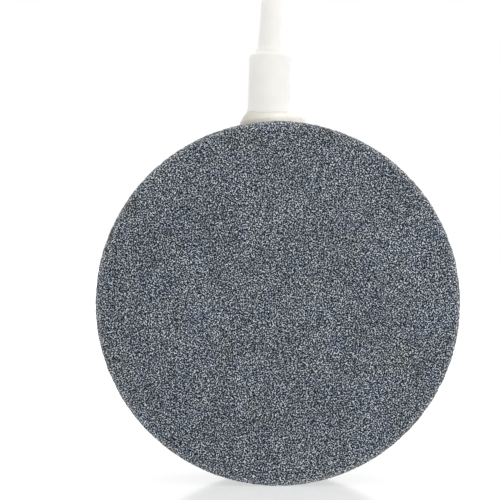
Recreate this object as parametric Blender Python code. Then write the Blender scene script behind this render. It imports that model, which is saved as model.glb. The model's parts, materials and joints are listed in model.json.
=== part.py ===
"""An air stone: a hollow porous disc, glued up from two half shells, with a stepped hose nozzle.

Metres, +Z up. The disc stands on its rim with its axis along Y and its front face towards -Y.
The origin is the middle of the rim's lowest flat. The nozzle leaves the top of the rim in a
frame of its own, whose height 0 is the rim's surface, and leans a little towards +X.
"""

import math

import bmesh
import bpy
from mathutils import Matrix, Vector

GAP = 0.0003  # clearance kept between two pieces that touch on the real object

# The disc.
DISC_DIAMETER = 0.080
DISC_THICKNESS = 0.018
EDGE_RADIUS = 0.001
RIM_WALL = 0.009  # from the rim in to the air chamber
FACE_WALL = 0.0055  # from a face in to the air chamber
CHAMBER_FILLET = 0.0015
SEAM_THICKNESS = 0.0004  # of the adhesive between the half shells
SEAM_SETBACK = 0.0006  # from the rim in to the seam's adhesive

# The nozzle: heights above the rim, along its own axis.
NOZZLE_OFFSET = -0.002  # along X, of the axis where it meets the rim
NOZZLE_LEAN = math.radians(1.5)
TAIL_TOP = 0.0283
TAIL_ROOT = 0.0175
COLLAR_TOP = 0.0166
COLLAR_FOOT = 0.0162
BODY_TOP = 0.0158
BODY_FOOT = 0.0012
STEM_END = -0.0105

TAIL_TIP_RADIUS = 0.0022  # for airline tube of 4 mm bore
TAIL_ROOT_RADIUS = 0.00275
COLLAR_RADIUS = 0.00325
BODY_TOP_RADIUS = 0.00465  # for hose of 9 mm bore
BODY_FOOT_RADIUS = 0.00485
STEM_RADIUS = 0.0031
BORE_RADIUS = 0.0012
MOUTH_ROUNDING = 0.0004
BODY_ROUNDING = 0.0007

# Rings on the stem that key it into the adhesive.
STEM_RINGS = 3
RING_PITCH = 0.0026
RING_GROOVE_DEPTH = 0.0004
RING_GROOVE_WIDTH = 0.001

# The adhesive that holds the nozzle: a sleeve in the bore and a bead on the rim.
SLEEVE_THICKNESS = 0.0006
SLEEVE_FOOT = -0.0086
BEAD_TOP = 0.0028  # where the bead meets the nozzle, along the rim
BEAD_THICKNESS = 0.0023  # of the bead's outer edge, over the rim
BEAD_DROP = 0.0006  # how much lower the bead lies in front and behind than along the rim
BEAD_ROUNDING = 0.001
BEAD_ROUNDING_CHANGE = 0.0003  # how much sharper its edge is towards +X than the mean
BEAD_REACH = 0.0072  # mean radius of the bead's outer edge
BEAD_SHIFT = 0.00105  # how much further the bead spreads towards +X than the mean
BEAD_STRETCH = 0.00025  # how much further it spreads along the rim than the mean

# Facets of the round pieces.
RIM_SIDES = 64
NOZZLE_SIDES = 32
BEAD_SIDES = 48
ARC_STEPS = 3
SHARP_ANGLE = math.radians(30)

DISC_RADIUS = DISC_DIAMETER / 2
HALF_THICKNESS = DISC_THICKNESS / 2
SEAM_FACE = SEAM_THICKNESS / 2 + GAP  # of a half shell, from the disc's middle plane
CHAMBER_RADIUS = DISC_RADIUS - RIM_WALL
CHAMBER_CEILING = HALF_THICKNESS - FACE_WALL  # from the disc's middle plane
SLEEVE_INNER_RADIUS = STEM_RADIUS + GAP
SLEEVE_OUTER_RADIUS = SLEEVE_INNER_RADIUS + SLEEVE_THICKNESS
STONE_BORE_RADIUS = SLEEVE_OUTER_RADIUS + GAP
STONE_BORE_END = -RIM_WALL - 0.0006  # just inside the chamber

STANDING = Matrix.Translation((0, 0, DISC_RADIUS)) @ Matrix.Rotation(math.pi / 2, 4, "X")
NOZZLE_FRAME = Matrix.Translation((NOZZLE_OFFSET, 0, DISC_DIAMETER)) @ Matrix.Rotation(
    NOZZLE_LEAN, 4, "Y"
)


def remove_scene_objects():
    for scene_object in list(bpy.data.objects):
        bpy.data.objects.remove(scene_object, do_unlink=True)


def new_material(name, colour, roughness):
    material = bpy.data.materials.new(name)
    material.use_nodes = True
    shader = material.node_tree.nodes["Principled BSDF"]
    shader.inputs["Base Color"].default_value = (*colour, 1.0)
    shader.inputs["Roughness"].default_value = roughness
    shader.inputs["Metallic"].default_value = 0.0
    return material


def new_object(name, bm, frame, material=None):
    """Turns bm into an object placed by the matrix frame."""
    mesh = bpy.data.meshes.new(name)
    bm.to_mesh(mesh)
    bm.free()
    mesh.shade_smooth()
    mesh.set_sharp_from_angle(angle=SHARP_ANGLE)
    made = bpy.data.objects.new(name, mesh)
    made.matrix_world = frame
    if material is not None:
        mesh.materials.append(material)
    bpy.context.scene.collection.objects.link(made)
    return made


def arc(centre, radius, start, end, steps=ARC_STEPS):
    """(radius, height) points of an arc about centre, from the angle start to end in degrees."""
    points = []
    for step in range(steps + 1):
        angle = math.radians(start + (end - start) * step / steps)
        points.append(
            (centre[0] + radius * math.cos(angle), centre[1] + radius * math.sin(angle))
        )
    return points


def turned(profile, sides, closed=True):
    """A body turned about Z from (radius, height) points, with flats facing along X and Y.

    An open profile starts and ends on the axis.
    """
    bm = bmesh.new()
    verts = [bm.verts.new((radius, 0, height)) for radius, height in profile]
    following = verts[1:] + verts[:1] if closed else verts[1:]
    edges = [bm.edges.new(pair) for pair in zip(verts, following)]
    bmesh.ops.spin(
        bm,
        geom=verts + edges,
        axis=(0, 0, 1),
        cent=(0, 0, 0),
        angle=math.tau,
        steps=sides,
    )
    bmesh.ops.remove_doubles(bm, verts=bm.verts, dist=1e-6)
    bmesh.ops.rotate(
        bm, verts=bm.verts, matrix=Matrix.Rotation(math.pi / sides, 3, "Z")
    )
    bmesh.ops.recalc_face_normals(bm, faces=bm.faces)
    return bm


def across_flats(radius, sides):
    """The corner radius of a turned body whose flats lie at radius."""
    return radius / math.cos(math.pi / sides)


def half_shell_profile():
    """A half shell's section, from the middle of its face out over the rim and into the chamber."""
    rim = across_flats(DISC_RADIUS, RIM_SIDES)
    edge_centre = (rim - EDGE_RADIUS, HALF_THICKNESS - EDGE_RADIUS)
    fillet_centre = (
        CHAMBER_RADIUS - CHAMBER_FILLET,
        CHAMBER_CEILING - CHAMBER_FILLET,
    )
    profile = [(0, HALF_THICKNESS)]
    profile += arc(edge_centre, EDGE_RADIUS, 90, 0)
    profile += [(rim, SEAM_FACE), (CHAMBER_RADIUS, SEAM_FACE)]
    profile += arc(fillet_centre, CHAMBER_FILLET, 0, 90)
    profile += [(0, CHAMBER_CEILING)]
    return profile


def stone_bore_cutter():
    """The hole for the nozzle's stem, which the seam splits into two half-round grooves."""
    above_rim = 0.003
    profile = [
        (0, above_rim),
        (STONE_BORE_RADIUS, above_rim),
        (STONE_BORE_RADIUS, STONE_BORE_END),
        (0, STONE_BORE_END),
    ]
    cutter = new_object(
        "stone_bore", turned(profile, NOZZLE_SIDES, closed=False), NOZZLE_FRAME
    )
    cutter.hide_render = True
    cutter.display_type = "WIRE"
    return cutter


def cut(target, cutter):
    modifier = target.modifiers.new("bore", "BOOLEAN")
    modifier.operation = "DIFFERENCE"
    modifier.solver = "EXACT"
    modifier.object = cutter


def make_half_shells(cutter):
    stone = new_material("porous_stone", (0.13, 0.147, 0.168), 0.95)
    facing_back = STANDING @ Matrix.Rotation(math.pi, 4, "X")
    for name, frame in (("front_half", STANDING), ("back_half", facing_back)):
        blank = turned(half_shell_profile(), RIM_SIDES, closed=False)
        cut(new_object(name, blank, frame, stone), cutter)


def make_seam_adhesive(cutter):
    """The thin ring of adhesive between the half shells, open where the nozzle passes."""
    epoxy = new_material("seam_epoxy", (0.42, 0.40, 0.34), 0.6)
    inner = CHAMBER_RADIUS + GAP
    outer = across_flats(DISC_RADIUS - SEAM_SETBACK, RIM_SIDES)
    face = SEAM_THICKNESS / 2
    profile = [(outer, face), (outer, -face), (inner, -face), (inner, face)]
    cut(new_object("seam_adhesive", turned(profile, RIM_SIDES), STANDING, epoxy), cutter)


def stem_profile():
    """The stem's outer side from the body's foot down, with its keying rings."""
    points = [(STEM_RADIUS, BODY_FOOT)]
    groove = STEM_RADIUS - RING_GROOVE_DEPTH
    for ring in range(STEM_RINGS):
        top = -0.0015 - ring * RING_PITCH
        points += [
            (STEM_RADIUS, top),
            (groove, top),
            (groove, top - RING_GROOVE_WIDTH),
            (STEM_RADIUS, top - RING_GROOVE_WIDTH),
        ]
    points.append((STEM_RADIUS, STEM_END))
    return points


def nozzle_profile():
    """The nozzle's section, down its outer side from the mouth and back up its bore."""
    lip_centre = (TAIL_TIP_RADIUS - MOUTH_ROUNDING, TAIL_TOP - MOUTH_ROUNDING)
    body_centre = (BODY_TOP_RADIUS - BODY_ROUNDING, BODY_TOP - BODY_ROUNDING)
    profile = arc(lip_centre, MOUTH_ROUNDING, 90, 0)
    profile += [(TAIL_ROOT_RADIUS, TAIL_ROOT)]
    profile += [(COLLAR_RADIUS, COLLAR_TOP), (COLLAR_RADIUS, COLLAR_FOOT)]
    profile += arc(body_centre, BODY_ROUNDING, 65, 0)
    profile += [(BODY_FOOT_RADIUS, BODY_FOOT)]
    profile += stem_profile()
    profile += [(BORE_RADIUS, STEM_END), (BORE_RADIUS, TAIL_TOP)]
    return profile


def make_nozzle():
    plastic = new_material("nozzle_plastic", (0.86, 0.85, 0.82), 0.4)
    new_object(
        "hose_nozzle", turned(nozzle_profile(), NOZZLE_SIDES), NOZZLE_FRAME, plastic
    )


def height_over_rim(x):
    """The height in the nozzle's frame, at x, of a cylinder GAP outside the rim."""
    centre = NOZZLE_FRAME.inverted() @ Vector((0, 0, DISC_RADIUS))
    radius = across_flats(DISC_RADIUS, RIM_SIDES) + GAP
    return centre.z + math.sqrt(radius**2 - (x - centre.x) ** 2)


def adhesive_section(angle):
    """The sleeve and bead's closed (radius, height) section at an angle about the nozzle."""
    reach = BEAD_REACH + BEAD_SHIFT * math.cos(angle)
    reach += BEAD_STRETCH * math.cos(2 * angle)
    drop = BEAD_DROP * math.sin(angle) ** 2
    rounding = BEAD_ROUNDING - BEAD_ROUNDING_CHANGE * math.cos(angle)
    inner = BODY_FOOT_RADIUS + GAP
    underside = [
        SLEEVE_OUTER_RADIUS + (reach - SLEEVE_OUTER_RADIUS) * step / ARC_STEPS
        for step in range(ARC_STEPS + 1)
    ]
    section = [(SLEEVE_INNER_RADIUS, SLEEVE_FOOT), (SLEEVE_OUTER_RADIUS, SLEEVE_FOOT)]
    section += [(radius, height_over_rim(radius * math.cos(angle))) for radius in underside]
    shoulder = section[-1][1] + BEAD_THICKNESS - drop - rounding
    section += arc((reach - rounding, shoulder), rounding, 0, 75)
    section += [(inner, BEAD_TOP - drop), (inner, BODY_FOOT - GAP)]
    section += [(SLEEVE_INNER_RADIUS, BODY_FOOT - GAP)]
    return section


def make_nozzle_adhesive():
    """Joins the sections around the nozzle into one closed ring."""
    adhesive = new_material("nozzle_adhesive", (0.80, 0.77, 0.68), 0.45)
    bm = bmesh.new()
    rings = []
    for side in range(BEAD_SIDES):
        angle = math.tau * side / BEAD_SIDES
        rings.append(
            [
                bm.verts.new((radius * math.cos(angle), radius * math.sin(angle), height))
                for radius, height in adhesive_section(angle)
            ]
        )
    for ring, following in zip(rings, rings[1:] + rings[:1]):
        for index in range(len(ring)):
            after = (index + 1) % len(ring)
            bm.faces.new((ring[index], ring[after], following[after], following[index]))
    bmesh.ops.recalc_face_normals(bm, faces=bm.faces)
    new_object("nozzle_adhesive", bm, NOZZLE_FRAME, adhesive)


def main():
    remove_scene_objects()
    cutter = stone_bore_cutter()
    make_half_shells(cutter)
    make_seam_adhesive(cutter)
    make_nozzle()
    make_nozzle_adhesive()


main()
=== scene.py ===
"""The looks of an air stone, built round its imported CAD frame.

Metres, +Z up. The disc stands on its rim with its axis along Y and its front face towards -Y.
A shell point is given as (across, up, out): across and up from the disc's centre in the plane
of its face, and out from the disc's middle plane towards the half shell's own face.
"""

import json
import math

import bmesh
import bpy
import numpy as np
from mathutils import Matrix, Vector, noise


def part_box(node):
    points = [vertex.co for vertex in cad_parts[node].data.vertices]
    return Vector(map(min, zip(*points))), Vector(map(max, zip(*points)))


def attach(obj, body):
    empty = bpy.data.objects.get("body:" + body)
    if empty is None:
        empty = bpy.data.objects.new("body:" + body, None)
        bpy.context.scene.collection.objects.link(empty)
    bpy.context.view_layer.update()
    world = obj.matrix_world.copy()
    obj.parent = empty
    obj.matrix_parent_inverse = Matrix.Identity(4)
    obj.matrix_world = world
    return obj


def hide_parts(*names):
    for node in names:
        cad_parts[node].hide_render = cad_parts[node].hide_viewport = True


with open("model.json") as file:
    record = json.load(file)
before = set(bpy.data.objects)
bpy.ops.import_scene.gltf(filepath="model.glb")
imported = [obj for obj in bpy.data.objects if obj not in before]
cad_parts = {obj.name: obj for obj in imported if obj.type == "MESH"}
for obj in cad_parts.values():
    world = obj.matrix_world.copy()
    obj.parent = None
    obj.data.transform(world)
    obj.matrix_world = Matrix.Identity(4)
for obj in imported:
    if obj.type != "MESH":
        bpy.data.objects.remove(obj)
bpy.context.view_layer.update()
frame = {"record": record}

# The disc, from the frame.
SHELL_LOW, SHELL_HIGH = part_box("back_half")
DISC_RADIUS = (SHELL_HIGH.z - SHELL_LOW.z) / 2
HALF_THICKNESS = SHELL_HIGH.y
SEAM_GAP = 0.00002  # between a half shell and the adhesive
SEAM_HALF_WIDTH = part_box("seam_adhesive")[1].y + SEAM_GAP

# The disc's sections, as the CAD has them.
EDGE_RADIUS = 0.001
CHAMBER_RADIUS = 0.031
CHAMBER_CEILING = 0.0035
CHAMBER_FILLET = 0.0015
STONE_BORE_RADIUS = 0.0043
STONE_BORE_END = -0.0096  # height in the nozzle's frame

# The stone's surface.
FACE_CELLS = 240  # along each side of the grid that covers a face
ROW_PITCH = 0.0003  # between the rings of points on the rim
EDGE_ROWS = 6
GRAIN_RELIEF = 0.00007
GRAIN_JITTER = 0.00009  # sideways
PIT_DEPTH = 0.00016
PIT_SHARE = 0.06  # of the points
WEAR_DEPTH = 0.00022
WEAR_PER_METRE = 900  # worn places along an edge
SHELL_SHIFT = 0.37  # between the wear patterns of the two half shells
SEAM_CHIP = 0.0002
GRAIN_SIZE = 0.0003
PORE_SIZE = 0.00027
CRYSTAL_SIZE = 0.0001  # of the lighter and darker parts of a grain
CLUMP_SIZE = 0.0005  # of grains that are lighter or darker together

# The nozzle: heights above the rim along its axis, as the CAD has them.
TAIL_TOP = 0.0283
TAIL_ROOT = 0.0175
COLLAR_TOP = 0.0166
COLLAR_FOOT = 0.0162
BODY_TOP = 0.0158
BODY_FLARE = 0.0042
BODY_FOOT = 0.0012
STEM_END = -0.0105
TAIL_TIP_RADIUS = 0.0022
TAIL_ROOT_RADIUS = 0.00275
COLLAR_RADIUS = 0.00325
BODY_TOP_RADIUS = 0.00465
BODY_TAPER = 0.00005  # how much wider it is at the flare than at the top
BODY_FOOT_RADIUS = 0.00485
STEM_RADIUS = 0.0031
BORE_RADIUS = 0.0012
LIP_ROUNDING = 0.00042
BORE_ROUNDING = 0.0003
BODY_ROUNDING = 0.0007
ROOT_FILLET = 0.0025
COLLAR_ROUNDING = 0.0005
COLLAR_FILLET = 0.0004
STEM_RINGS = 3
FIRST_RING = -0.0015
RING_PITCH = 0.0026
RING_GROOVE_DEPTH = 0.0004
RING_GROOVE_WIDTH = 0.001
RIDGE_HEIGHT = 0.00003
RIDGE_HEADING = 0.35  # radians from +X, and on the opposite side
RIDGE_SPREAD = 0.03  # in radians, from its crest
NOZZLE_SIDES = 192

# The bead of adhesive round the nozzle's foot, also as the CAD has it.
BEAD_TOP = 0.0028
BEAD_THICKNESS = 0.0023
BEAD_DROP = 0.0006
BEAD_ROUNDING = 0.001
BEAD_ROUNDING_CHANGE = 0.0003
BEAD_REACH = 0.0072
BEAD_SHIFT = 0.00105
BEAD_STRETCH = 0.00025
BEAD_BELLY = 0.00015  # how far its slope swells
BEAD_BITE = 0.0001  # how far the adhesive reaches into the stone's grain
BEAD_SIDES = 224
BEAD_WAVES = 0.00016  # of its outline
BEAD_LUMPS = 0.00011  # of its slope
SLEEVE_FOOT = -0.0086
SLEEVE_GAP = 0.00005  # to the stem and to the stone

# The adhesive in the seam.
SEAM_SUNK = 0.00028
SEAM_WAVES = 0.00022
SEAM_LUMPS = 0.0001
SEAM_SIDES = 720

rng = np.random.default_rng(8)


def nozzle_frame():
    """The nozzle's own frame: its origin where its axis meets the rim, its Z along the axis."""
    mouth = next(m for m in frame["record"]["mounts"] if m["name"] == "nozzle_mouth")
    axis = Vector(mouth["axis"])
    rise = (mouth["pos_m"][2] - 2 * DISC_RADIUS) / axis.z
    across = mouth["pos_m"][0] - axis.x * rise
    lean = math.atan2(axis.x, axis.z)
    return Matrix.Translation((across, 0, 2 * DISC_RADIUS)) @ Matrix.Rotation(lean, 4, "Y")


NOZZLE_FRAME = nozzle_frame()


# Meshes


def new_piece(name, verts, faces, smooth):
    """A closed mesh object from world points, with its faces turned out."""
    mesh = bpy.data.meshes.new(name)
    mesh.from_pydata([tuple(v) for v in verts], [], faces)
    bm = bmesh.new()
    bm.from_mesh(mesh)
    bmesh.ops.recalc_face_normals(bm, faces=bm.faces)
    bm.to_mesh(mesh)
    bm.free()
    if smooth:
        mesh.shade_smooth()
    else:
        mesh.shade_flat()
    piece = bpy.data.objects.new(name, mesh)
    bpy.context.scene.collection.objects.link(piece)
    return piece


def arc(centre, radius, start, end, steps):
    """Points of an arc about centre, from the angle start to end in degrees."""
    angles = np.radians(np.linspace(start, end, steps + 1))
    return [
        (centre[0] + radius * math.cos(a), centre[1] + radius * math.sin(a)) for a in angles
    ]


def straight(start, end, steps):
    """Points from start to end in equal steps, without start."""
    return [
        (
            start[0] + (end[0] - start[0]) * i / steps,
            start[1] + (end[1] - start[1]) * i / steps,
        )
        for i in range(1, steps + 1)
    ]


def ring_body(name, section, sides, place):
    """A smooth ring-shaped body: section(angle) gives its closed (radius, height) section."""
    verts = []
    for side in range(sides):
        angle = math.tau * side / sides
        points = section(angle)
        verts += [
            place @ Vector((r * math.cos(angle), r * math.sin(angle), h)) for r, h in points
        ]
    count = len(verts) // sides
    faces = []
    for side in range(sides):
        here, there = side * count, (side + 1) % sides * count
        for i in range(count):
            after = (i + 1) % count
            faces.append((here + i, here + after, there + after, there + i))
    return new_piece(name, verts, faces, smooth=True)


# The half shells


def disc_grid(cells):
    """Points of a square grid mapped onto the unit disc, evenly spread, also along its rim."""
    steps = np.linspace(-1, 1, cells + 1)
    u, v = np.meshgrid(steps, steps, indexing="ij")
    wide = np.abs(u) >= np.abs(v)
    radius = np.where(wide, u, v)
    ratio = np.divide(
        np.where(wide, v, u), radius, out=np.zeros_like(u), where=radius != 0
    )
    angle = np.where(wide, ratio, 2 - ratio) * math.pi / 4
    return radius * np.cos(angle), radius * np.sin(angle)


def grid_rim(cells):
    """Indices of the grid's outer points, in order round the disc."""
    side = cells + 1
    last = cells
    rim = [last * side + j for j in range(last)]
    rim += [i * side + last for i in range(last, 0, -1)]
    rim += [j for j in range(last, 0, -1)]
    rim += [i * side for i in range(last)]
    return rim


def shell_rows():
    """(radius, out, outward tilt, grain's weight) of each ring of points, from the face in."""
    rows = []
    edge_radius, edge_out = DISC_RADIUS - EDGE_RADIUS, HALF_THICKNESS - EDGE_RADIUS
    for step in range(1, EDGE_ROWS + 1):
        tilt = math.pi / 2 * (1 - step / EDGE_ROWS)
        radius = edge_radius + EDGE_RADIUS * math.cos(tilt)
        rows.append((radius, edge_out + EDGE_RADIUS * math.sin(tilt), tilt, 1.0))
    seam_edge = (DISC_RADIUS, SEAM_HALF_WIDTH)
    steps = round((edge_out - SEAM_HALF_WIDTH) / ROW_PITCH)
    for radius, out in straight((DISC_RADIUS, edge_out), seam_edge, steps):
        rows.append((radius, out, 0.0, 1.0))
    fillet = (CHAMBER_RADIUS - CHAMBER_FILLET, CHAMBER_CEILING - CHAMBER_FILLET)
    inside = straight(seam_edge, (CHAMBER_RADIUS, SEAM_HALF_WIDTH), 3)
    inside += arc(fillet, CHAMBER_FILLET, 0, 90, 3)
    rows += [(radius, out, 0.0, 0.0) for radius, out in inside]
    return rows


def around(heading, radius, out):
    """Points at a radius from the disc's axis, in the directions of heading."""
    height = np.full(len(heading), out)
    return np.stack([radius * np.cos(heading), radius * np.sin(heading), height], axis=1)


def shell_surface():
    """Points, outward directions, grain weights and faces of a half shell without its bore."""
    across, up = (part.ravel() for part in disc_grid(FACE_CELLS))
    face_radius = DISC_RADIUS - EDGE_RADIUS
    level = np.full(across.size, HALF_THICKNESS)
    points = [np.stack([across * face_radius, up * face_radius, level], axis=1)]
    normals = [np.tile((0.0, 0.0, 1.0), (across.size, 1))]
    weights = [np.ones(across.size)]
    side = FACE_CELLS + 1
    faces = [
        (i * side + j, (i + 1) * side + j, (i + 1) * side + j + 1, i * side + j + 1)
        for i in range(FACE_CELLS)
        for j in range(FACE_CELLS)
    ]
    ring = grid_rim(FACE_CELLS)
    heading = np.arctan2(up[ring], across[ring])
    start = across.size
    for radius, out, tilt, weight in shell_rows():
        points.append(around(heading, radius, out))
        normals.append(around(heading, math.cos(tilt), math.sin(tilt)))
        weights.append(np.full(len(ring), weight))
        following = list(range(start, start + len(ring)))
        for i in range(len(ring)):
            after = (i + 1) % len(ring)
            faces.append((ring[i], ring[after], following[after], following[i]))
        ring = following
        start += len(ring)
    points.append(np.array([[0.0, 0.0, CHAMBER_CEILING]]))
    normals.append(np.array([[0.0, 0.0, -1.0]]))
    weights.append(np.zeros(1))
    faces += [(ring[i], ring[(i + 1) % len(ring)], start) for i in range(len(ring))]
    return np.concatenate(points), np.concatenate(normals), np.concatenate(weights), faces


def roughened(points, normals, weights, side):
    """The points moved as grains, pits and worn edges would have them, never outwards."""
    count = len(points)
    inward = GRAIN_RELIEF * rng.random(count)
    pitted = rng.random(count) < PIT_SHARE
    inward += np.where(pitted, PIT_DEPTH * rng.random(count), 0.0)
    edge = np.hypot(points[:, 0], points[:, 1]) > DISC_RADIUS - EDGE_RADIUS
    near_face = points[:, 2] > HALF_THICKNESS - 2 * EDGE_RADIUS
    shift = Vector((side * SHELL_SHIFT, 0, 0))
    for index in np.flatnonzero(edge & near_face & (weights > 0)):
        chips = noise.noise(Vector(points[index]) * WEAR_PER_METRE + shift)
        inward[index] += WEAR_DEPTH * max(0.0, chips)
    inward += np.where(points[:, 2] < SEAM_HALF_WIDTH + ROW_PITCH, SEAM_CHIP, 0.0)
    slide = rng.uniform(-GRAIN_JITTER, GRAIN_JITTER, (count, 3))
    slide -= normals * np.sum(slide * normals, axis=1, keepdims=True)
    slide[points[:, 2] < SEAM_HALF_WIDTH + ROW_PITCH / 2] = 0.0
    return points + (slide - normals * inward[:, None]) * weights[:, None]


def bore_cutter():
    """The bore for the nozzle's stem."""
    above_rim = 0.004
    depth = above_rim - STONE_BORE_END
    bm = bmesh.new()
    bmesh.ops.create_cone(
        bm,
        cap_ends=True,
        segments=64,
        radius1=STONE_BORE_RADIUS,
        radius2=STONE_BORE_RADIUS,
        depth=depth,
        matrix=Matrix.Translation((0, 0, above_rim - depth / 2)),
    )
    bm.transform(NOZZLE_FRAME)
    mesh = bpy.data.meshes.new("bore_cutter")
    bm.to_mesh(mesh)
    bm.free()
    cutter = bpy.data.objects.new("bore_cutter", mesh)
    bpy.context.scene.collection.objects.link(cutter)
    return cutter


def cut(piece, cutter):
    """Takes the cutter's shape out of the piece for good."""
    modifier = piece.modifiers.new("bore", "BOOLEAN")
    modifier.object = cutter
    modifier.solver = "MANIFOLD"
    evaluated = piece.evaluated_get(bpy.context.evaluated_depsgraph_get())
    mesh = bpy.data.meshes.new_from_object(evaluated)
    piece.modifiers.clear()
    piece.data = mesh


def make_half_shell(name, node, side, material, cutter):
    points, normals, weights, faces = shell_surface()
    points = roughened(points, normals, weights, side)
    world = np.stack([points[:, 0], side * points[:, 2], DISC_RADIUS + points[:, 1]], axis=1)
    piece = new_piece(name, world, faces, smooth=False)
    cut(piece, cutter)
    finish_piece(piece, node, material)


def finish_piece(piece, node, material):
    """Gives the piece its material and ties it to the frame."""
    piece.data.materials.clear()
    piece.data.materials.append(material)
    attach(piece, "root")
    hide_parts(node)


# The adhesive and the nozzle


def wobble(angle, size, turns, seed):
    """A smooth closed unevenness round a ring, at most about size, finer with more turns."""
    at = Vector((math.cos(angle), math.sin(angle), 0)) * turns + Vector((0, 0, seed))
    return size * noise.noise(at)


def make_seam():
    """The adhesive in the seam, a little sunk and uneven along the rim."""

    def section(angle):
        outer = DISC_RADIUS - SEAM_SUNK
        outer += wobble(angle, SEAM_WAVES, turns=9, seed=1.0)
        outer += wobble(angle, SEAM_LUMPS, turns=60, seed=2.0)
        face = SEAM_HALF_WIDTH
        return [
            (CHAMBER_RADIUS, -face),
            (outer - face * 0.5, -face),
            (outer, -face * 0.5),
            (outer, face * 0.5),
            (outer - face * 0.5, face),
            (CHAMBER_RADIUS, face),
        ]

    standing = Matrix.Translation((0, 0, DISC_RADIUS)) @ Matrix.Rotation(math.pi / 2, 4, "X")
    return ring_body("seam_glue", section, SEAM_SIDES, standing)


def stem_profile():
    """The stem's outer side from the body's foot down, with its keying rings."""
    points = [(STEM_RADIUS, BODY_FOOT)]
    groove = STEM_RADIUS - RING_GROOVE_DEPTH
    for ring in range(STEM_RINGS):
        top = FIRST_RING - ring * RING_PITCH
        foot = top - RING_GROOVE_WIDTH
        points += [(STEM_RADIUS, top), (groove, top), (groove, foot), (STEM_RADIUS, foot)]
    points.append((STEM_RADIUS, STEM_END))
    return points


def nozzle_profile():
    """The nozzle's closed section, down its outer side from the mouth and back up its bore.

    Each arc starts and ends at the angles at which it meets its neighbours.
    """
    lip_centre = (TAIL_TIP_RADIUS - LIP_ROUNDING, TAIL_TOP - LIP_ROUNDING)
    profile = arc(lip_centre, LIP_ROUNDING, 90, 0, 8)
    root = (TAIL_ROOT_RADIUS + ROOT_FILLET, TAIL_ROOT + ROOT_FILLET / 4)
    profile += straight(profile[-1], (TAIL_ROOT_RADIUS, root[1]), 15)
    profile += arc(root, ROOT_FILLET, 183, 210, 9)
    collar_centre = (COLLAR_RADIUS - COLLAR_ROUNDING, COLLAR_TOP - COLLAR_ROUNDING / 4)
    profile += arc(collar_centre, COLLAR_ROUNDING, 35, 8, 4)
    fillet = (COLLAR_RADIUS + COLLAR_FILLET, COLLAR_FOOT + COLLAR_FILLET)
    profile += arc(fillet, COLLAR_FILLET, 188, 246, 5)
    body_centre = (BODY_TOP_RADIUS - BODY_ROUNDING, BODY_TOP - BODY_ROUNDING)
    profile += arc(body_centre, BODY_ROUNDING, 66, 0, 10)
    profile += straight(profile[-1], (BODY_TOP_RADIUS + BODY_TAPER, BODY_FLARE), 12)
    profile += straight(profile[-1], (BODY_FOOT_RADIUS, BEAD_TOP), 3)
    profile += straight(profile[-1], (BODY_FOOT_RADIUS, BODY_FOOT), 2)
    profile += stem_profile()
    profile += [(BORE_RADIUS, STEM_END)]
    profile += straight(profile[-1], (BORE_RADIUS, TAIL_TOP - BORE_ROUNDING), 20)[:-1]
    bore_centre = (BORE_RADIUS + BORE_ROUNDING, TAIL_TOP - BORE_ROUNDING)
    profile += arc(bore_centre, BORE_ROUNDING, 180, 90, 5)
    return profile


def make_nozzle():
    """The moulded nozzle, with the fine ridge that its mould's parting line leaves."""
    profile = nozzle_profile()
    outside = TAIL_TIP_RADIUS - LIP_ROUNDING / 2

    def section(angle):
        off_ridge = math.sin(angle - RIDGE_HEADING) / RIDGE_SPREAD
        ridge = RIDGE_HEIGHT * math.exp(-(off_ridge**2))
        return [(r + (ridge if r > outside else 0.0), h) for r, h in profile]

    nozzle = ring_body("nozzle_moulding", section, NOZZLE_SIDES, NOZZLE_FRAME)
    nozzle.data.set_sharp_from_angle(angle=math.radians(40))
    return nozzle


def height_of_rim(across):
    """The rim's height in the nozzle's frame."""
    centre = NOZZLE_FRAME.inverted() @ Vector((0, 0, DISC_RADIUS))
    return centre.z + math.sqrt(DISC_RADIUS**2 - (across - centre.x) ** 2)


def tangent_angle(centre, radius, point):
    """The angle in degrees, about centre, at which a line from point touches the circle."""
    across, rise = point[0] - centre[0], point[1] - centre[1]
    return math.degrees(math.atan2(rise, across) - math.acos(radius / math.hypot(across, rise)))


def bead_section(angle):
    """The section of the sleeve and the hand-laid bead at an angle round the nozzle."""
    reach = BEAD_REACH + BEAD_SHIFT * math.cos(angle)
    reach += BEAD_STRETCH * math.cos(2 * angle)
    reach += wobble(angle, BEAD_WAVES, turns=2.2, seed=3.0)
    reach += wobble(angle, BEAD_WAVES / 3, turns=7, seed=4.0)
    drop = BEAD_DROP * math.sin(angle) ** 2
    rounding = BEAD_ROUNDING - BEAD_ROUNDING_CHANGE * math.cos(angle)
    stem = STEM_RADIUS + SLEEVE_GAP
    sleeve = STONE_BORE_RADIUS - SLEEVE_GAP
    section = [(stem, SLEEVE_FOOT), (sleeve, SLEEVE_FOOT)]
    underside = straight((sleeve, 0), (reach, 0), 8)
    section += [(r, height_of_rim(r * math.cos(angle)) - BEAD_BITE) for r, _ in underside]
    edge = height_of_rim(reach * math.cos(angle)) + BEAD_THICKNESS - drop - rounding
    section += straight(section[-1], (reach, edge), 6)[:-1]
    rise = wobble(angle, BEAD_LUMPS, turns=2.5, seed=5.0) - drop
    top = (BODY_FOOT_RADIUS - SLEEVE_GAP, BEAD_TOP + rise)
    centre = (reach - rounding, edge)
    section += arc(centre, rounding, 0, tangent_angle(centre, rounding, top), 10)
    slope = straight(section[-1], top, 14)
    for step, (radius, height) in enumerate(slope, 1):
        share = step / len(slope)
        swell = BEAD_BELLY + wobble(angle, BEAD_LUMPS, turns=3 + 2 * share, seed=6.0)
        section.append((radius, height + swell * math.sin(math.pi * share) ** 2))
    seat = BODY_FOOT - SLEEVE_GAP / 2
    section += [(top[0], seat), (stem, seat)]
    return section


def make_bead():
    return ring_body("nozzle_glue", bead_section, BEAD_SIDES, NOZZLE_FRAME)


# Materials


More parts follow.
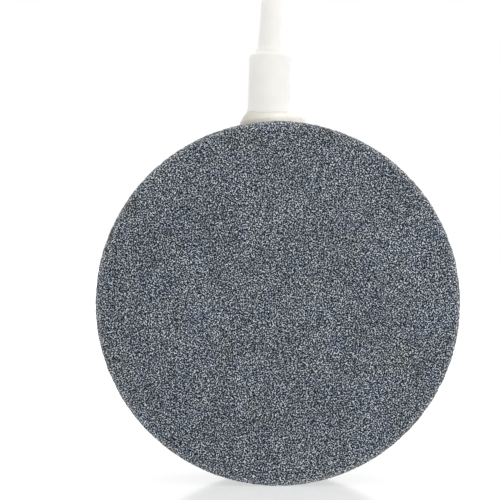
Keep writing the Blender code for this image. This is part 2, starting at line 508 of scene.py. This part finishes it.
def srgb(red, green, blue):
    """A linear colour from display values of 0 to 255."""

    def linear(value):
        value /= 255
        return value / 12.92 if value <= 0.04045 else ((value + 0.055) / 1.055) ** 2.4

    return (linear(red), linear(green), linear(blue), 1.0)


def new_material(name):
    material = bpy.data.materials.new(name)
    material.use_nodes = True
    return material


class Nodes:
    """A node tree. A node's input takes a number, a colour or another node's output."""

    def __init__(self, tree):
        self.tree = tree
        self.shader = tree.nodes.get("Principled BSDF")
        self.place = self.add("ShaderNodeTexCoord").outputs["Object"]

    def put(self, socket, value):
        if isinstance(value, bpy.types.NodeSocket):
            self.tree.links.new(value, socket)
        else:
            socket.default_value = value

    def add(self, kind, inputs=(), **settings):
        node = self.tree.nodes.new(kind)
        for key, value in settings.items():
            setattr(node, key, value)
        for key, value in dict(inputs).items():
            self.put(node.inputs[key], value)
        return node

    def set(self, **values):
        """Sets the shader's sockets, named with _ for a space."""
        for key, value in values.items():
            self.put(self.shader.inputs[key.replace("_", " ")], value)

    def noise(self, size, detail=2.0, roughness=0.5):
        """Smooth noise from 0 to 1, whose lumps are about size across."""
        inputs = {
            "Vector": self.place,
            "Scale": 1 / size,
            "Detail": detail,
            "Roughness": roughness,
        }
        return self.add("ShaderNodeTexNoise", inputs).outputs["Fac"]

    def flat_noise(self, place, size, turn):
        """Noise of one size only, 0 to 1, over a flat place. Its rows are turned by turn."""
        inputs = {"Vector": place, "Angle": turn}
        turned = self.add("ShaderNodeVectorRotate", inputs, rotation_type="Z_AXIS").outputs[0]
        inputs = {"Vector": turned, "Scale": 1 / size, "Detail": 0.0}
        return self.add("ShaderNodeTexNoise", inputs, noise_dimensions="2D").outputs["Fac"]

    def flat_cells(self, place, size):
        """Cells about size across over a flat place, with a random colour each."""
        inputs = {"Vector": place, "Scale": 1 / size}
        return self.add("ShaderNodeTexVoronoi", inputs, voronoi_dimensions="2D").outputs["Color"]

    def ramp(self, value, stops):
        """A colour that follows value through the (position, colour) stops."""
        node = self.add("ShaderNodeValToRGB", {"Fac": value})
        elements = node.color_ramp.elements
        while len(elements) < len(stops):
            elements.new(0.5)
        for element, (position, colour) in zip(elements, stops):
            element.position = position
            element.color = colour
        return node.outputs["Color"]

    def mix(self, share, first, second, blend="MIX"):
        node = self.add("ShaderNodeMix", data_type="RGBA", blend_type=blend)
        self.put(node.inputs[0], share)
        self.put(node.inputs[6], first)
        self.put(node.inputs[7], second)
        return node.outputs[2]

    def math(self, operation, *values):
        inputs = dict(enumerate(values))
        return self.add("ShaderNodeMath", inputs, operation=operation).outputs[0]

    def vector(self, operation, *values, output="Vector"):
        inputs = dict(enumerate(values))
        return self.add("ShaderNodeVectorMath", inputs, operation=operation).outputs[output]

    def parts(self, place):
        return self.add("ShaderNodeSeparateXYZ", {"Vector": place}).outputs

    def joined(self, first, second):
        """A flat place from its two coordinates."""
        return self.add("ShaderNodeCombineXYZ", {"X": first, "Y": second}).outputs[0]

    def between(self, value, low, high, to_low=0.0, to_high=1.0):
        """value taken from the range low to high into to_low to to_high, and kept inside it."""
        inputs = {
            "Value": value,
            "From Min": low,
            "From Max": high,
            "To Min": to_low,
            "To Max": to_high,
        }
        return self.add("ShaderNodeMapRange", inputs, clamp=True).outputs[0]

    def channel(self, colour, name):
        return self.add("ShaderNodeSeparateColor", {"Color": colour}).outputs[name]

    def bump(self, height, depth, strength=1.0, normal=None):
        inputs = {"Height": height, "Distance": depth, "Strength": strength}
        node = self.add("ShaderNodeBump", inputs)
        if normal is not None:
            self.put(node.inputs["Normal"], normal)
        return node.outputs["Normal"]


def edge_wear_and_painted_highlight(n, from_axis):
    """How worn and how lit the stone's edges are painted, 0 to 1: patchy, and only along the edges
    of its faces. Partly real wear, partly a painted highlight where the rounded edge catches
    light.
    """
    out = n.math("ABSOLUTE", n.parts(n.place)["Y"])
    at_rim = n.between(from_axis, DISC_RADIUS - 1.5 * EDGE_RADIUS, DISC_RADIUS - 0.5 * EDGE_RADIUS)
    at_face = n.between(out, HALF_THICKNESS - 2 * EDGE_RADIUS, HALF_THICKNESS - EDGE_RADIUS)
    patches = n.between(n.noise(0.003, 3.0), 0.35, 0.65, 0.3, 1.0)
    return n.math("MULTIPLY", n.math("MULTIPLY", at_rim, at_face), patches)


def along_skin(n, flat, from_axis):
    """Flat places on the stone's skin: as they are on its faces, and rolled out on its rim."""
    across, up = n.parts(flat)["X"], n.parts(flat)["Y"]
    round_rim = n.math("MULTIPLY", n.math("ARCTAN2", up, across), DISC_RADIUS)
    rolled_out = n.joined(round_rim, n.parts(n.place)["Y"])
    on_rim = n.math("GREATER_THAN", from_axis, DISC_RADIUS - 0.3 * EDGE_RADIUS)
    return n.mix(on_rim, flat, rolled_out)


def stone_material():
    """Blue-grey bonded mineral grain, from near-black pores to white specks."""
    material = new_material("stone_grain")
    n = Nodes(material.node_tree)
    place = n.parts(n.place)
    flat = n.joined(place["X"], n.math("SUBTRACT", place["Z"], DISC_RADIUS))
    from_axis = n.vector("LENGTH", flat, output="Value")
    skin = along_skin(n, flat, from_axis)
    grains = n.math("ADD", n.flat_noise(skin, GRAIN_SIZE, 0.5), n.flat_noise(skin, PORE_SIZE, 1.2))
    crystals = n.flat_cells(skin, CRYSTAL_SIZE)
    clumps = n.flat_cells(skin, CLUMP_SIZE)
    wear_and_painted_highlight = edge_wear_and_painted_highlight(n, from_axis)
    tone = n.between(grains, 0.73, 1.27, 0.0, 0.67)
    tone = n.math("MULTIPLY_ADD", n.channel(crystals, "Red"), 0.15, tone)
    tone = n.math("MULTIPLY_ADD", n.channel(clumps, "Red"), 0.18, tone)
    # Edges painted lighter and greyer: partly real wear, partly a painted highlight of the rounded
    # edge catching light.
    tone = n.math("MULTIPLY_ADD", wear_and_painted_highlight, 0.09, tone)
    stops = [
        (0.00, srgb(2, 6, 11)),
        (0.25, srgb(16, 23, 31)),
        (0.50, srgb(58, 66, 75)),
        (0.75, srgb(132, 140, 148)),
        (1.00, srgb(232, 237, 241)),
    ]
    mottle = n.between(n.noise(0.012, 3.0, 0.6), 0.3, 0.7, 0.85, 1.12)
    colour = n.mix(1.0, n.ramp(tone, stops), mottle, "MULTIPLY")
    tints = [(0.3, (0.97, 1.0, 1.08, 1.0)), (0.7, (1.06, 1.03, 0.96, 1.0))]
    colour = n.mix(1.0, colour, n.ramp(n.noise(0.008, 4.0, 0.6), tints), "MULTIPLY")
    colour = n.mix(n.math("MULTIPLY", wear_and_painted_highlight, 0.2), colour, srgb(152, 148, 142))
    roughness = n.between(n.channel(clumps, "Blue"), 0.88, 0.97, 0.88, 0.38)
    normal = n.bump(grains, 0.00003, 0.6)
    normal = n.bump(n.channel(crystals, "Green"), 0.00002, 0.4, normal)
    n.set(Base_Color=colour, Roughness=roughness, Normal=normal)
    n.shader.inputs["Specular IOR Level"].default_value = 0.15
    return material


def plastic_material():
    """Milky moulded plastic: satin, a little translucent, with faint flow marks and scuffs."""
    material = new_material("milky_plastic")
    n = Nodes(material.node_tree)
    cloud = n.noise(0.004, 3.0)
    colour = n.ramp(cloud, [(0.3, srgb(231, 229, 224)), (0.7, srgb(236, 234, 230))])
    scuff = n.noise(0.0007, 4.0, 0.7)
    roughness = n.between(scuff, 0.3, 0.7, 0.30, 0.46)
    normal = n.bump(n.noise(0.0011, 2.0), 0.00003, 0.35)
    n.set(Base_Color=colour, Roughness=roughness, Normal=normal)
    n.shader.inputs["Subsurface Weight"].default_value = 0.4
    n.shader.inputs["Subsurface Radius"].default_value = (1.0, 0.9, 0.8)
    n.shader.inputs["Subsurface Scale"].default_value = 0.0012
    return material


def glue_material():
    """Cream adhesive, semi-gloss and slightly lumpy, with painted shade that greys it towards its
    left (-X) side.
    """
    material = new_material("cream_glue")
    n = Nodes(material.node_tree)
    cloud = n.noise(0.0025, 3.0)
    cream = n.ramp(cloud, [(0.3, srgb(238, 234, 225)), (0.7, srgb(245, 242, 235))])
    across = n.parts(n.place)["X"]
    middle = NOZZLE_FRAME.translation.x
    painted_left_shade = n.between(across, middle - BEAD_REACH, middle + BEAD_REACH / 3, 1.0, 0.0)
    # Painted shade: greyer towards the bead's left side, where less light falls.
    colour = n.mix(painted_left_shade, cream, srgb(176, 172, 158))
    roughness = n.between(n.noise(0.0009, 3.0), 0.3, 0.7, 0.28, 0.48)
    normal = n.bump(n.noise(0.0016, 2.0), 0.00012, 0.5)
    n.set(Base_Color=colour, Roughness=roughness, Normal=normal)
    n.shader.inputs["Subsurface Weight"].default_value = 0.2
    n.shader.inputs["Subsurface Radius"].default_value = (1.0, 0.8, 0.6)
    n.shader.inputs["Subsurface Scale"].default_value = 0.0008
    return material


def seam_material():
    """Grey-beige cured epoxy, dusty with stone."""
    material = new_material("seam_epoxy")
    n = Nodes(material.node_tree)
    dust = n.noise(0.0003, 1.0)
    stops = [(0.3, srgb(70, 74, 76)), (0.5, srgb(120, 119, 112)), (0.7, srgb(165, 161, 148))]
    roughness = n.between(n.noise(0.0008, 3.0), 0.3, 0.7, 0.5, 0.75)
    n.set(Base_Color=n.ramp(dust, stops), Roughness=roughness, Normal=n.bump(dust, 0.00004, 0.5))
    return material


def floor_material():
    """A slightly glossy table of white glass, lit from below."""
    material = new_material("studio_table")
    n = Nodes(material.node_tree)
    colour = n.ramp(n.noise(0.3, 2.0), [(0.3, srgb(138, 138, 138)), (0.7, srgb(142, 142, 142))])
    roughness = n.between(n.noise(0.05, 3.0), 0.3, 0.7, 0.12, 0.15)
    n.set(Base_Color=colour, Roughness=roughness)
    n.shader.inputs["IOR"].default_value = 1.25
    n.shader.inputs["Emission Color"].default_value = (1, 1, 1, 1)
    n.shader.inputs["Emission Strength"].default_value = 0.57
    return material


# The studio


def make_floor():
    bm = bmesh.new()
    bmesh.ops.create_grid(bm, x_segments=8, y_segments=8, size=3.0)
    mesh = bpy.data.meshes.new("studio_floor")
    bm.to_mesh(mesh)
    bm.free()
    floor = bpy.data.objects.new("studio_floor", mesh)
    floor.data.materials.append(floor_material())
    bpy.context.scene.collection.objects.link(floor)


def make_world():
    """White surroundings, brighter above and on the right. They show as plain white."""
    world = bpy.data.worlds.new("studio")
    world.use_nodes = True
    n = Nodes(world.node_tree)
    towards = n.add("ShaderNodeTexCoord").outputs["Generated"]
    lighter = n.vector("DOT_PRODUCT", towards, (0.1, 0.0, 0.12), output="Value")
    light = n.math("ADD", lighter, 1.1)
    seen = n.add("ShaderNodeLightPath").outputs["Is Camera Ray"]
    background = world.node_tree.nodes["Background"]
    n.put(background.inputs["Color"], (1, 1, 1, 1))
    n.put(background.inputs["Strength"], n.mix(seen, light, (1, 1, 1, 1)))
    bpy.context.scene.world = world


def make_lamp(name, place, size, power):
    """A soft square lamp that faces the disc's middle and isn't mirrored in the table."""
    light = bpy.data.lights.new(name, "AREA")
    light.size = size
    light.energy = power
    lamp = bpy.data.objects.new(name, light)
    lamp.location = place
    aim = Vector((0, 0, DISC_RADIUS)) - lamp.location
    lamp.rotation_mode = "QUATERNION"
    lamp.rotation_quaternion = aim.to_track_quat("-Z", "Y")
    lamp.visible_camera = False
    lamp.visible_glossy = False
    bpy.context.scene.collection.objects.link(lamp)


def make_camera():
    """Looks straight at the face, a little above the disc's middle and left of it."""
    lens = bpy.data.cameras.new("camera")
    lens.lens = 81
    lens.sensor_width = 36
    field = 0.10915  # of view, in the plane of the front face
    distance = field * lens.lens / lens.sensor_width
    camera = bpy.data.objects.new("camera", lens)
    camera.location = (-0.0061, -HALF_THICKNESS - distance, 0.0517)
    camera.rotation_euler = (math.pi / 2, 0, 0)
    lens.clip_start = 0.01
    bpy.context.scene.collection.objects.link(camera)
    bpy.context.scene.camera = camera


def make_studio():
    make_floor()
    make_world()
    make_lamp("key", (0.12, -0.08, 0.05), 0.05, 0.035)
    make_camera()
    bpy.context.scene.view_settings.view_transform = "Standard"


def main():
    stone = stone_material()
    cutter = bore_cutter()
    make_half_shell("front_shell", "front_half", -1, stone, cutter)
    make_half_shell("back_shell", "back_half", 1, stone, cutter)
    seam = make_seam()
    cut(seam, cutter)
    finish_piece(seam, "seam_adhesive", seam_material())
    bpy.data.objects.remove(cutter)
    finish_piece(make_nozzle(), "hose_nozzle", plastic_material())
    finish_piece(make_bead(), "nozzle_adhesive", glue_material())
    make_studio()


main()
